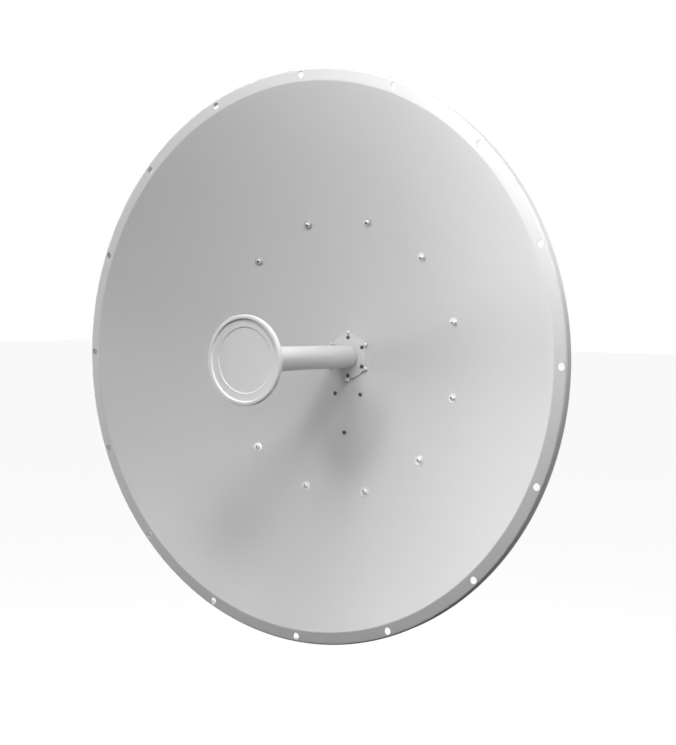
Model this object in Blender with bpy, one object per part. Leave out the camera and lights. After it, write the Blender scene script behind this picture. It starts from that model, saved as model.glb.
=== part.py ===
"""Microwave dish antenna with a centre feed, on a pole bracket.

Metres, +Z up. The dish looks along -Y. The origin is the middle of the flat
rear face of the pole bracket. Everything on the dish is laid out in the dish's
own frame, which has x to the right seen from the front, y up, and z forward
along the boresight from the vertex of the reflecting surface.
"""

import math

import bmesh
import bpy
from mathutils import Matrix, Vector

MM = 0.001
GAP = 0.3 * MM
ROUND = math.tau
# A drill is turned a little, so that its corners miss the edges of what it cuts.
DRILL_TWIST = math.radians(7)

# Reflector: a paraboloid, a flat flange square to the boresight, and a lip turned back.
FOUR_F = 1466.6 * MM
VERTEX_Y = -190 * MM
SHEET = 2 * MM
CENTRE_HOLE_R = 26 * MM
BOWL_EDGE_R = 500.8 * MM
FIRST_RING_R = 46 * MM
INNER_RINGS = 3
OUTER_RINGS = 4
INNER_BEND = 5 * MM
FLANGE_FOLD_R = 521.6 * MM
OUTER_BEND = 3.5 * MM
LIP_DEPTH = 16.5 * MM
DISH_SIDES = 64

RIM_HOLES = 16
RIM_HOLE_PCR = 514.6 * MM
RIM_HOLE_R = 6.25 * MM

# The twelve screws that hold the backing ring.
RING_SCREWS = 12
RING_SCREW_PCR = 263.2 * MM
RING_SCREW_START = math.radians(15)
M6_R = 3 * MM
M6_HOLE_R = 3.6 * MM
WASHER_CLEAR = 0.9 * MM

# Feed on the boresight.
TUBE_R = 22 * MM
TUBE_WALL = 2 * MM
TUBE_BACK_Z = -20 * MM
CAP_R = 78.5 * MM
CAP_FACE_Z = 336 * MM
CAP_THICK = 10 * MM
CAP_RIM = 6.5 * MM
CAP_EDGE = 3 * MM
CAP_FIRST_STEP = 4 * MM
CAP_STEP_R = 57.5 * MM
CAP_SECOND_STEP = 5.5 * MM
CONE_DEPTH = 36 * MM
PLATE_R = 43.5 * MM
PLATE_FLAT = 40.5 * MM
PLATE_THICK = 3 * MM
HUB_FLANGE_R = 55 * MM
HUB_BOSS_R = 34 * MM
HUB_FRONT_Z = -2.4 * MM
HUB_FLANGE = 4 * MM
HUB_BACK_Z = -24 * MM
HOUSING_HALF = 42 * MM
HOUSING_DEPTH = 40 * MM
HOUSING_CORNER = 8 * MM
CONNECTOR_X = 20 * MM

# Radio bracket low on the back of the dish, on three small screws.
RADIO_SCREWS = ((-29 * MM, -73 * MM), (29 * MM, -73 * MM), (0.0, -147.5 * MM))
RADIO_WEB_Z = -12 * MM
RADIO_SHEET = 2.5 * MM
RADIO_HALF_WIDTH = 38 * MM
RADIO_TOP = -64 * MM
RADIO_BOTTOM = -165 * MM
RADIO_FLANGE = 22 * MM
M4_R = 2 * MM
M4_HOLE_R = 2.6 * MM

# Backing ring, folded from sheet, between the dish and the side brackets.
RING_SHEET = 2.5 * MM
RING_OUTER_R = 281 * MM
RING_WALL_R = 249 * MM
RING_INNER_R = 205 * MM
RING_BACK_Z = -14 * MM

# Side brackets, pole bracket and their bolts.
BRACKET_SHEET = 3 * MM
BRACKET_FRONT = VERTEX_Y - RING_BACK_Z + GAP
BRACKET_HALF_HEIGHT = 215 * MM
BRACKET_FLANGE = 45 * MM
BRACKET_TIP = 25 * MM
BRACKET_BACK = -12 * MM
POLE_BRACKET_HALF = 72 * MM
POLE_BRACKET_DEPTH = 85 * MM
POLE_BRACKET_HEIGHT = 118 * MM
POLE_BRACKET_SHEET = 4 * MM
# The flat between the upper and the lower clamp, and a seam in it beside the origin.
FACE_HALF = 50 * MM
FACE_SEAM = 20 * MM
PIVOT = (-60 * MM, 80 * MM)
LOCK_DROP = 155 * MM
LOCK = (PIVOT[0], PIVOT[1] - LOCK_DROP)
SLOT_SWEEP = math.radians(12)
M10_R = 5 * MM
M10_HOLE_R = 5.5 * MM
M10_HEX_R = 9.8 * MM
M10_HEAD = 6.4 * MM
M10_NUT = 8 * MM

TIE_BAR_Y = -140 * MM
TIE_BAR_Z = 150 * MM
TIE_BAR_R = 9 * MM
TRUNNION = (-50 * MM, -100 * MM)
TRUNNION_R = 11 * MM
TRUNNION_PIN_R = 6 * MM
ROD_PAST_TRUNNION = 30 * MM

# Clamp jaws for a pole of up to 60 mm.
JAW_SHEET = 4 * MM
JAW_APEX_Y = 5.4 * MM
JAW_SLOPE = math.radians(35)
JAW_VALLEY_HALF = 38 * MM
JAW_HALF_WIDTH = 64 * MM
JAW_HALF_HEIGHT = 18 * MM
POLE_R = 30 * MM
POLE_Y = JAW_APEX_Y + POLE_R / math.cos(JAW_SLOPE)
CLAMP_X = 50 * MM
CLAMP_Z = 75 * MM
CLAMP_THREAD_END = 84 * MM


def clear_scene():
    for obj in list(bpy.data.objects):
        bpy.data.objects.remove(obj)


def material(name, colour, roughness, metallic):
    made = bpy.data.materials.new(name)
    made.use_nodes = True
    shader = made.node_tree.nodes["Principled BSDF"]
    shader.inputs["Base Color"].default_value = (*colour, 1)
    shader.inputs["Roughness"].default_value = roughness
    shader.inputs["Metallic"].default_value = metallic
    return made


def dish_z(radius):
    """Height of the reflecting surface over its vertex."""
    return radius**2 / FOUR_F


def dish_slope(radius):
    return math.atan(2 * radius / FOUR_F)


def steps_between(start, end, steps):
    return [start + (end - start) * i / steps for i in range(steps + 1)]


def bowl_radii():
    """Radii of the rings of the bowl. One of them is the circle of the ring screws."""
    inner = steps_between(FIRST_RING_R, RING_SCREW_PCR, INNER_RINGS)
    outer = steps_between(RING_SCREW_PCR, BOWL_EDGE_R, OUTER_RINGS)
    return [CENTRE_HOLE_R, *inner, *outer[1:]]


def sheet_z(radius):
    """Height of the modelled sheet, which is straight from ring to ring."""
    radii = bowl_radii()
    for low, high in zip(radii, radii[1:]):
        if radius <= high:
            share = (radius - low) / (high - low)
            return dish_z(low) + share * (dish_z(high) - dish_z(low))
    return dish_z(radius)


def thickened(path, thickness):
    """A closed outline: an open path, then the same path moved to its left, with mitred corners."""
    points = [Vector(p) for p in path]
    normals = []
    for a, b in zip(points, points[1:]):
        along = (b - a).normalized()
        normals.append(Vector((-along.y, along.x)))
    moved = []
    for i, point in enumerate(points):
        before = normals[max(i - 1, 0)]
        after = normals[min(i, len(normals) - 1)]
        moved.append(point + (before + after) * (thickness / (1 + before.dot(after))))
    return points + moved[::-1]


def turned(profile, sides):
    """Body turned about its own z from a profile of (radius, z) or (radius, z, "hex").

    A point on the axis closes the body there. A profile off the axis all the
    way is closed on itself, as for a ring.
    """
    body = bmesh.new()
    rings = []
    for entry in profile:
        radius, z = entry[:2]
        if radius < 1e-9:
            rings.append([body.verts.new((0, 0, z))])
            continue
        ring = []
        for i in range(sides):
            turn = ROUND * i / sides
            flat = math.cos(math.pi / 6) / math.cos(turn % (ROUND / 6) - math.pi / 6)
            reach = radius * flat if len(entry) > 2 else radius
            ring.append(body.verts.new((reach * math.cos(turn), reach * math.sin(turn), z)))
        rings.append(ring)
    on_axis = len(rings[0]) == 1
    for a, b in zip(rings, rings[1:] if on_axis else rings[1:] + rings[:1]):
        for i in range(sides):
            j = (i + 1) % sides
            corners = [a[i % len(a)], a[j % len(a)], b[j % len(b)], b[i % len(b)]]
            body.faces.new(list(dict.fromkeys(corners)))
    return body


def extruded(outline, low, high):
    """Prism over an outline in x and y, from z low to z high."""
    body = bmesh.new()
    bottom = [body.verts.new((p[0], p[1], low)) for p in outline]
    face = body.faces.new(bottom)
    grown = bmesh.ops.extrude_face_region(body, geom=[face])
    lifted = [v for v in grown["geom"] if isinstance(v, bmesh.types.BMVert)]
    bmesh.ops.translate(body, vec=(0, 0, high - low), verts=lifted)
    return body


def divided(body, point, normal):
    """Adds edges to a body where a plane meets it."""
    everything = body.verts[:] + body.edges[:] + body.faces[:]
    bmesh.ops.bisect_plane(body, geom=everything, plane_co=point, plane_no=normal)


def add(name, body, paint, parent=None, matrix=None, smooth=True):
    bmesh.ops.recalc_face_normals(body, faces=body.faces)
    mesh = bpy.data.meshes.new(name)
    body.to_mesh(mesh)
    body.free()
    if paint:
        mesh.materials.append(paint)
    if smooth:
        mesh.shade_smooth()
        mesh.set_sharp_from_angle(angle=math.radians(32))
    obj = bpy.data.objects.new(name, mesh)
    bpy.context.scene.collection.objects.link(obj)
    obj.parent = parent
    if matrix is not None:
        obj.matrix_local = matrix
    return obj


def helper(name, body, parent=None, matrix=None):
    obj = add(name, body, None, parent, matrix, smooth=False)
    obj.hide_render = True
    obj.display_type = "WIRE"
    return obj


def boolean(obj, other, operation):
    modifier = obj.modifiers.new(operation.lower(), "BOOLEAN")
    modifier.operation = operation
    modifier.object = other
    modifier.solver = "EXACT"


def along(start, direction):
    """Places a turned body: its z along the direction, its zero at the start."""
    turn = Vector(direction).to_track_quat("Z", "Y").to_matrix().to_4x4()
    return Matrix.Translation(Vector(start)) @ turn


def drills(name, places, radius, half_length, sides, parent=None):
    """One cutter that holds a round bar for each (point, direction)."""
    joined = bmesh.new()
    for point, direction in places:
        bar = turned(
            [(0, -half_length), (radius, -half_length), (radius, half_length), (0, half_length)],
            sides,
        )
        place = along(point, direction) @ Matrix.Rotation(DRILL_TWIST, 4, "Z")
        bmesh.ops.transform(bar, matrix=place, verts=bar.verts)
        part = bpy.data.meshes.new("bar")
        bar.to_mesh(part)
        bar.free()
        joined.from_mesh(part)
        bpy.data.meshes.remove(part)
    return helper(name, joined, parent)


def on_circle(radius, angle, z):
    return (radius * math.cos(angle), radius * math.sin(angle), z)


def dish_normal(angle, radius):
    """Forward normal of the reflecting surface."""
    slope = dish_slope(radius)
    inward = -math.sin(slope)
    return (inward * math.cos(angle), inward * math.sin(angle), math.cos(slope))


def ring_screw_angles():
    return [RING_SCREW_START + ROUND * i / RING_SCREWS for i in range(RING_SCREWS)]


def reflector_line():
    """Front line of the sheet from the centre out: (radius, z, slope) at each point."""
    line = [(radius, dish_z(radius), dish_slope(radius)) for radius in bowl_radii()]
    radius, z, slope = line[-1]
    centre = (radius + INNER_BEND * math.sin(slope), z - INNER_BEND * math.cos(slope))
    for turn in steps_between(slope, 0, 2)[1:]:
        line.append(
            (centre[0] - INNER_BEND * math.sin(turn), centre[1] + INNER_BEND * math.cos(turn), turn)
        )
    flange_z = line[-1][1]
    for turn in steps_between(0, -math.pi / 2, 2):
        line.append(
            (
                FLANGE_FOLD_R - OUTER_BEND * math.sin(turn),
                flange_z - OUTER_BEND * (1 - math.cos(turn)),
                turn,
            )
        )
    line.append((FLANGE_FOLD_R + OUTER_BEND, flange_z - LIP_DEPTH, -math.pi / 2))
    return line


def build_reflector(dish, paint):
    front = reflector_line()
    back = [(r + SHEET * math.sin(s), z - SHEET * math.cos(s)) for r, z, s in front]
    outline = [(r, z) for r, z, _ in front] + back[::-1]
    reflector = add("reflector", turned(outline, DISH_SIDES), paint, dish)
    flange_z = max(z for _, z, _ in front)
    rim = [
        (on_circle(RIM_HOLE_PCR, math.pi / 2 + ROUND * i / RIM_HOLES, flange_z), (0, 0, 1))
        for i in range(RIM_HOLES)
    ]
    boolean(reflector, drills("rim_drill", rim, RIM_HOLE_R, 6 * MM, 12, dish), "DIFFERENCE")
    screws = [
        (on_circle(RING_SCREW_PCR, a, dish_z(RING_SCREW_PCR)), dish_normal(a, RING_SCREW_PCR))
        for a in ring_screw_angles()
    ]
    boolean(reflector, drills("ring_drill", screws, M6_HOLE_R, 12 * MM, 10, dish), "DIFFERENCE")
    small = [((x, y, dish_z(math.hypot(x, y))), (0, 0, 1)) for x, y in RADIO_SCREWS]
    boolean(reflector, drills("radio_drill", small, M4_HOLE_R, 8 * MM, 8, dish), "DIFFERENCE")
    return bpy.data.objects["ring_drill"]


def build_ring_screws(dish, steel):
    """M6 button screw with a wide washer in front and a nut behind the backing ring."""
    washer_r, washer = 9 * MM, 1.6 * MM
    head_r, head = 5.25 * MM, 3.3 * MM
    nut_r, nut = 5.7 * MM, 5 * MM
    nut_z = -(SHEET + RING_SHEET + 4 * GAP)
    head_z = WASHER_CLEAR + washer
    profile = [
        (0, nut_z - nut),
        (nut_r, nut_z - nut),
        (nut_r, nut_z),
        (M6_R, nut_z),
        (M6_R, WASHER_CLEAR),
        (washer_r, WASHER_CLEAR),
        (washer_r, head_z),
        (head_r, head_z),
        (head_r * 0.82, head_z + head * 0.72),
        (head_r * 0.5, head_z + head),
        (0, head_z + head),
    ]
    for i, angle in enumerate(ring_screw_angles(), 1):
        place = along(
            on_circle(RING_SCREW_PCR, angle, dish_z(RING_SCREW_PCR)),
            dish_normal(angle, RING_SCREW_PCR),
        )
        add(f"ring_screw_{i:02d}", turned(profile, 8), steel, dish, place)


def build_feed(dish, paint, plastic):
    """Tube, base plate, reflecting cone and cap on the front of the dish."""
    cone_back = CAP_FACE_Z - CAP_THICK - GAP - CONE_DEPTH
    tube_front = cone_back - GAP
    tube = [
        (TUBE_R, TUBE_BACK_Z),
        (TUBE_R, tube_front),
        (TUBE_R - TUBE_WALL, tube_front),
        (TUBE_R - TUBE_WALL, TUBE_BACK_Z),
    ]
    add("feed_tube", turned(tube, 24), paint, dish)

    back = dish_z(FIRST_RING_R) + GAP
    turn = math.acos(PLATE_FLAT / PLATE_R)
    outline = [
        on_circle(PLATE_R, side + a, 0)
        for side in (0, math.pi)
        for a in steps_between(turn, math.pi - turn, 10)
    ]
    plate = add("feed_base_plate", extruded(outline, back, back + PLATE_THICK), paint, dish)
    bore = drills("plate_bore", [((0, 0, back), (0, 0, 1))], TUBE_R + 4 * GAP, 10 * MM, 24, dish)
    boolean(plate, bore, "DIFFERENCE")

    cone = [
        (0, cone_back),
        (TUBE_R + 4 * MM, cone_back),
        (TUBE_R + 4 * MM, cone_back + 8 * MM),
        (CAP_R - 8 * MM, cone_back + CONE_DEPTH - 4 * MM),
        (CAP_R - 8 * MM, cone_back + CONE_DEPTH),
        (0, cone_back + CONE_DEPTH),
    ]
    add("subreflector", turned(cone, 32), plastic, dish)

    rim_inner = CAP_R - CAP_RIM
    first_step, second_step = CAP_FACE_Z - CAP_FIRST_STEP, CAP_FACE_Z - CAP_SECOND_STEP
    cap = [(0, CAP_FACE_Z - CAP_THICK), (CAP_R - 1 * MM, CAP_FACE_Z - CAP_THICK)]
    cap += [(CAP_R, CAP_FACE_Z - CAP_THICK + 1 * MM)]
    cap += [
        (CAP_R - CAP_EDGE * (1 - math.cos(a)), CAP_FACE_Z - CAP_EDGE * (1 - math.sin(a)))
        for a in steps_between(0, math.pi / 2, 2)
    ]
    cap += [
        (rim_inner, CAP_FACE_Z),
        (rim_inner - 1 * MM, first_step),
        (CAP_STEP_R, first_step),
        (CAP_STEP_R - 0.5 * MM, second_step),
        (0, second_step),
    ]
    add("feed_cap", turned(cap, 40), plastic, dish)


def build_feed_back(dish, casting, steel):
    """Flanged hub, housing and two coaxial connectors behind the dish."""
    bore = TUBE_R + 4 * GAP
    hub = [
        (bore, HUB_FRONT_Z),
        (HUB_FLANGE_R, HUB_FRONT_Z),
        (HUB_FLANGE_R, HUB_FRONT_Z - HUB_FLANGE),
        (HUB_BOSS_R, HUB_FRONT_Z - HUB_FLANGE),
        (HUB_BOSS_R, HUB_BACK_Z),
        (bore, HUB_BACK_Z),
    ]
    add("feed_hub", turned(hub, 24), casting, dish)

    inner = HOUSING_HALF - HOUSING_CORNER
    outline = []
    for i, (sx, sy) in enumerate(((1, 1), (-1, 1), (-1, -1), (1, -1))):
        for a in steps_between(i * math.pi / 2, (i + 1) * math.pi / 2, 3):
            x = sx * inner + HOUSING_CORNER * math.cos(a)
            outline.append((x, sy * inner + HOUSING_CORNER * math.sin(a)))
    front = HUB_BACK_Z - GAP
    add("feed_housing", extruded(outline, front - HOUSING_DEPTH, front), casting, dish)

    connector = [
        (0, 0),
        (9 * MM, 0),
        (9 * MM, 4 * MM),
        (6.5 * MM, 4 * MM),
        (6.5 * MM, 8 * MM),
        (8 * MM, 8 * MM),
        (8 * MM, 18 * MM),
        (5.5 * MM, 18 * MM),
        (5.5 * MM, 12 * MM),
        (0, 12 * MM),
    ]
    for side, x in (("left", -CONNECTOR_X), ("right", CONNECTOR_X)):
        start = (x, -HOUSING_HALF - GAP, front - HOUSING_DEPTH / 2)
        add(f"rf_connector_{side}", turned(connector, 12), steel, dish, along(start, (0, -1, 0)))


def build_radio_bracket(dish, steel, black):
    web = RADIO_WEB_Z
    back = web - RADIO_FLANGE
    path = [
        (-RADIO_HALF_WIDTH, back),
        (-RADIO_HALF_WIDTH, web),
        (RADIO_HALF_WIDTH, web),
        (RADIO_HALF_WIDTH, back),
    ]
    section = thickened(path, -RADIO_SHEET)
    upright = Matrix.Rotation(math.pi / 2, 4, "X")
    body = extruded(section, -RADIO_TOP, -RADIO_BOTTOM)
    bmesh.ops.transform(body, matrix=upright, verts=body.verts)
    bracket = add("radio_bracket", body, steel, dish, smooth=False)
    places = [((x, y, web), (0, 0, 1)) for x, y in RADIO_SCREWS]
    boolean(bracket, drills("radio_web_drill", places, M4_HOLE_R, 8 * MM, 8, dish), "DIFFERENCE")

    for i, (x, y) in enumerate(RADIO_SCREWS, 1):
        reach = math.hypot(x, y)
        top = sheet_z(reach + 4 * MM) + 2 * GAP
        under = sheet_z(reach - 5 * MM) - SHEET / math.cos(dish_slope(reach)) - 2 * GAP
        behind = web - RADIO_SHEET - GAP
        profile = [
            (0, behind - 3.5 * MM),
            (4 * MM, behind - 3.5 * MM),
            (4 * MM, behind),
            (M4_R, behind),
            (M4_R, web + GAP),
            (5 * MM, web + GAP),
            (5 * MM, under),
            (M4_R, under),
            (M4_R, top),
            (3.8 * MM, top),
            (2.6 * MM, top + 2.2 * MM),
            (0, top + 2.2 * MM),
        ]
        place = Matrix.Translation((x, y, 0))
        add(f"radio_bracket_screw_{i}", turned(profile, 8), black, dish, place)


def build_backing_ring(dish, paint, screw_drill):
    """Folded ring: a band on the dish, a wall back, and a flat flange inward."""
    clear = SHEET / math.cos(dish_slope(RING_SCREW_PCR)) + 2 * GAP
    path = [
        (RING_OUTER_R, dish_z(RING_OUTER_R) - clear),
        (RING_SCREW_PCR, dish_z(RING_SCREW_PCR) - clear),
        (RING_WALL_R, dish_z(RING_WALL_R) - clear),
        (RING_WALL_R, RING_BACK_Z + RING_SHEET),
        (RING_INNER_R, RING_BACK_Z + RING_SHEET),
    ]
    ring = add("backing_ring", turned(thickened(path, RING_SHEET), DISH_SIDES), paint, dish)
    boolean(ring, screw_drill, "DIFFERENCE")


def hex_bolt(grip_start, grip_end, thread_past):
    """M10 profile: head before the grip and nut after it."""
    head_z = grip_start - GAP
    nut_z = grip_end + GAP
    return [
        (0, head_z - M10_HEAD),
        (M10_HEX_R, head_z - M10_HEAD, "hex"),
        (M10_HEX_R, head_z, "hex"),
        (M10_R, head_z),
        (M10_R, nut_z),
        (M10_HEX_R, nut_z, "hex"),
        (M10_HEX_R, nut_z + M10_NUT, "hex"),
        (M10_R, nut_z + M10_NUT),
        (M10_R, nut_z + M10_NUT + thread_past),
        (0, nut_z + M10_NUT + thread_past),
    ]


def slot_outline():
    """Curved slot about the pivot, for the lock bolt: (y, z) points."""
    outline = []
    for radius, start, end in (
        (LOCK_DROP + M10_HOLE_R, -SLOT_SWEEP, SLOT_SWEEP),
        (LOCK_DROP - M10_HOLE_R, SLOT_SWEEP, -SLOT_SWEEP),
    ):
        for turn in steps_between(start, end, 8):
            y = PIVOT[0] + radius * math.sin(turn)
            outline.append((y, PIVOT[1] - radius * math.cos(turn)))
    return outline


def across(body):
    """Turns a prism over (y, z) so that its height runs along x."""
    turn = Matrix(((0, 0, 1, 0), (1, 0, 0, 0), (0, 1, 0, 0), (0, 0, 0, 1)))
    bmesh.ops.transform(body, matrix=turn, verts=body.verts)
    return body


def build_side_brackets(steel):
    """Angle plates from the backing ring back to the pole bracket."""
    inner = POLE_BRACKET_HALF + GAP
    outer = inner + BRACKET_SHEET
    half = BRACKET_HALF_HEIGHT
    shoulder = POLE_BRACKET_HEIGHT
    web = [
        (BRACKET_FRONT, -half),
        (BRACKET_FRONT + BRACKET_TIP, -half),
        (-POLE_BRACKET_DEPTH, -shoulder),
        (BRACKET_BACK, -shoulder),
        (BRACKET_BACK, shoulder),
        (-POLE_BRACKET_DEPTH, shoulder),
        (BRACKET_FRONT + BRACKET_TIP, half),
        (BRACKET_FRONT, half),
    ]
    for side, sign in (("left", -1), ("right", 1)):
        low, high = sorted((sign * inner, sign * outer))
        bracket = add(f"side_bracket_{side}", across(extruded(web, low, high)), steel, smooth=False)
        low, high = sorted((sign * inner, sign * (inner + BRACKET_FLANGE)))
        flange_outline = [
            (low, BRACKET_FRONT),
            (high, BRACKET_FRONT),
            (high, BRACKET_FRONT + BRACKET_SHEET),
            (low, BRACKET_FRONT + BRACKET_SHEET),
        ]
        flange = helper(f"flange_{side}", extruded(flange_outline, -half, half))
        boolean(bracket, flange, "UNION")
        mid = sign * (inner + outer) / 2
        holes = [((mid, *PIVOT), (1, 0, 0))]
        holes += [((mid, TIE_BAR_Y, z), (1, 0, 0)) for z in (-TIE_BAR_Z, TIE_BAR_Z)]
        drill = drills(f"bracket_drill_{side}", holes, M10_HOLE_R, 10 * MM, 12)
        boolean(bracket, drill, "DIFFERENCE")
        slot = helper(
            f"slot_{side}", across(extruded(slot_outline(), mid - 10 * MM, mid + 10 * MM))
        )
        boolean(bracket, slot, "DIFFERENCE")


def build_pole_bracket(steel):
    """Channel open to the front. The rear face of its web is the mounting face."""
    path = [
        (POLE_BRACKET_HALF, -POLE_BRACKET_DEPTH),
        (POLE_BRACKET_HALF, 0),
        (-POLE_BRACKET_HALF, 0),
        (-POLE_BRACKET_HALF, -POLE_BRACKET_DEPTH),
    ]
    section = thickened(path, POLE_BRACKET_SHEET)
    body = extruded(section, -POLE_BRACKET_HEIGHT, POLE_BRACKET_HEIGHT)
    divided(body, (0, 0, -FACE_HALF), (0, 0, 1))
    divided(body, (0, 0, FACE_HALF), (0, 0, 1))
    divided(body, (FACE_SEAM, 0, 0), (1, 0, 0))
    bracket = add("pole_bracket", body, steel, smooth=False)
    web = [((x, 0, z), (0, 1, 0)) for x in (-CLAMP_X, CLAMP_X) for z in (-CLAMP_Z, CLAMP_Z)]
    boolean(bracket, drills("clamp_drill", web, M10_HOLE_R, 10 * MM, 12), "DIFFERENCE")
    mid = POLE_BRACKET_HALF - POLE_BRACKET_SHEET / 2
    cheeks = [((x, *place), (1, 0, 0)) for x in (-mid, mid) for place in (PIVOT, LOCK)]
    boolean(bracket, drills("cheek_drill", cheeks, M10_HOLE_R, 10 * MM, 12), "DIFFERENCE")
    pins = [((x, *TRUNNION), (1, 0, 0)) for x in (-mid, mid)]
    pin_drill = drills("pin_drill", pins, TRUNNION_PIN_R + 2 * GAP, 10 * MM, 12)
    boolean(bracket, pin_drill, "DIFFERENCE")


def build_side_bolts(zinc):
    grip_start = -(POLE_BRACKET_HALF + GAP + BRACKET_SHEET)
    grip_end = -(POLE_BRACKET_HALF - POLE_BRACKET_SHEET)
    profile = hex_bolt(grip_start, grip_end, 3 * MM)
    for job, place in (("pivot", PIVOT), ("lock", LOCK)):
        for side, way in (("left", 1), ("right", -1)):
            start = along((0, *place), (way, 0, 0))
            add(f"{job}_bolt_{side}", turned(profile, 12), zinc, matrix=start)


def build_tie_bars(zinc):
    """Spacer bars between the side brackets, with a stud and a nut at each end."""
    inner = POLE_BRACKET_HALF
    stud = M10_R * 0.94
    outside = POLE_BRACKET_HALF + 2 * GAP + BRACKET_SHEET
    half = [
        (TIE_BAR_R, inner),
        (stud, inner),
        (stud, outside),
        (M10_HEX_R, outside, "hex"),
        (M10_HEX_R, outside + M10_NUT, "hex"),
        (stud, outside + M10_NUT),
        (stud, outside + M10_NUT + 3 * MM),
        (0, outside + M10_NUT + 3 * MM),
    ]
    other = [(entry[0], -entry[1], *entry[2:]) for entry in reversed(half)]
    for level, z in (("upper", TIE_BAR_Z), ("lower", -TIE_BAR_Z)):
        place = along((0, TIE_BAR_Y, z), (1, 0, 0))
        add(f"tie_bar_{level}", turned(other + half, 12), zinc, matrix=place)


def build_elevation_rod(zinc, steel):
    """Eye rod from the lower tie bar through a trunnion across the pole bracket."""
    start = Vector((0, TIE_BAR_Y, -TIE_BAR_Z))
    end = Vector((0, *TRUNNION))
    length = (end - start).length
    near = length - TRUNNION_R - 2 * GAP
    far = length + TRUNNION_R + 2 * GAP
    eye_out, eye_in, eye_half = TIE_BAR_R + 6 * MM, TIE_BAR_R + 2 * GAP, 6 * MM
    profile = [
        (0, eye_out - 2 * MM),
        (M10_R, eye_out - 2 * MM),
        (M10_R, near - M10_NUT),
        (M10_HEX_R, near - M10_NUT, "hex"),
        (M10_HEX_R, near, "hex"),
        (M10_R, near),
        (M10_R, far),
        (M10_HEX_R, far, "hex"),
        (M10_HEX_R, far + M10_NUT, "hex"),
        (M10_R, far + M10_NUT),
        (M10_R, length + ROD_PAST_TRUNNION),
        (0, length + ROD_PAST_TRUNNION),
    ]
    place = along(start, end - start)
    rod = add("elevation_rod", turned(profile, 12), zinc, matrix=place)
    eye = [(eye_in, -eye_half), (eye_out, -eye_half), (eye_out, eye_half), (eye_in, eye_half)]
    ring = helper("rod_eye", turned(eye, 20), matrix=along(start, (1, 0, 0)))
    boolean(rod, ring, "UNION")

    cheek = POLE_BRACKET_HALF - POLE_BRACKET_SHEET - GAP
    pin_end = POLE_BRACKET_HALF - 2 * GAP
    bar = [
        (0, -pin_end),
        (TRUNNION_PIN_R, -pin_end),
        (TRUNNION_PIN_R, -cheek),
        (TRUNNION_R, -cheek),
        (TRUNNION_R, cheek),
        (TRUNNION_PIN_R, cheek),
        (TRUNNION_PIN_R, pin_end),
        (0, pin_end),
    ]
    trunnion = add("rod_trunnion", turned(bar, 16), steel, matrix=along(end, (1, 0, 0)))
    cross = drills("trunnion_drill", [(end, end - start)], M10_HOLE_R, 20 * MM, 12)
    boolean(trunnion, cross, "DIFFERENCE")


def build_clamp(steel, zinc):
    """Two pairs of folded V jaws on four long bolts."""
    ear_y = JAW_APEX_Y + JAW_VALLEY_HALF * math.tan(JAW_SLOPE)
    front = [
        (JAW_HALF_WIDTH, ear_y),
        (JAW_VALLEY_HALF, ear_y),
        (0, JAW_APEX_Y),
        (-JAW_VALLEY_HALF, ear_y),
        (-JAW_HALF_WIDTH, ear_y),
    ]
    back = [(x, 2 * POLE_Y - y) for x, y in front]
    sections = {"front": thickened(front, JAW_SHEET), "back": thickened(back, -JAW_SHEET)}
    for level, z in (("upper", CLAMP_Z), ("lower", -CLAMP_Z)):
        holes = [((x, POLE_Y, z), (0, 1, 0)) for x in (-CLAMP_X, CLAMP_X)]
        drill = drills(f"jaw_drill_{level}", holes, M10_HOLE_R, 60 * MM, 12)
        for where, section in sections.items():
            body = extruded(section, z - JAW_HALF_HEIGHT, z + JAW_HALF_HEIGHT)
            jaw = add(f"clamp_jaw_{where}_{level}", body, steel, smooth=False)
            boolean(jaw, drill, "DIFFERENCE")

    grip_end = 2 * POLE_Y - ear_y + JAW_SHEET
    past = CLAMP_THREAD_END - grip_end - GAP - M10_NUT
    profile = hex_bolt(-POLE_BRACKET_SHEET, grip_end, past)
    for level, z in (("upper", CLAMP_Z), ("lower", -CLAMP_Z)):
        for side, x in (("left", -CLAMP_X), ("right", CLAMP_X)):
            place = along((x, 0, z), (0, 1, 0))
            add(f"clamp_bolt_{level}_{side}", turned(profile, 12), zinc, matrix=place)


def main():
    clear_scene()
    white = material("white_powder_coat", (0.8, 0.8, 0.8), 0.5, 0.0)
    plastic = material("light_grey_plastic", (0.74, 0.75, 0.76), 0.45, 0.0)
    stainless = material("stainless_steel", (0.62, 0.62, 0.62), 0.3, 1.0)
    black = material("black_steel", (0.05, 0.05, 0.05), 0.4, 0.6)
    casting = material("cast_aluminium", (0.6, 0.61, 0.62), 0.5, 0.9)
    steel = material("galvanised_steel", (0.55, 0.57, 0.58), 0.45, 0.9)
    zinc = material("zinc_plate", (0.66, 0.67, 0.66), 0.3, 1.0)

    dish = bpy.data.objects.new("dish_frame", None)
    bpy.context.scene.collection.objects.link(dish)
    dish.location = (0, VERTEX_Y, 0)
    dish.rotation_euler = (math.pi / 2, 0, 0)

    ring_drill = build_reflector(dish, white)
    build_ring_screws(dish, stainless)
    build_feed(dish, white, plastic)
    build_feed_back(dish, casting, stainless)
    build_radio_bracket(dish, steel, black)
    build_backing_ring(dish, white, ring_drill)
    build_side_brackets(steel)
    build_pole_bracket(steel)
    build_side_bolts(zinc)
    build_tie_bars(zinc)
    build_elevation_rod(zinc, steel)
    build_clamp(steel, zinc)


main()
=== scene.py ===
"""Looks of a microwave dish antenna, made around its packed construction model.

The dish has its own frame: x to the right seen from the front, y up, and z
forward along the boresight from the vertex of the reflecting surface. Lengths
are in metres. Most pieces are worked out there and then placed.
"""

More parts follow.
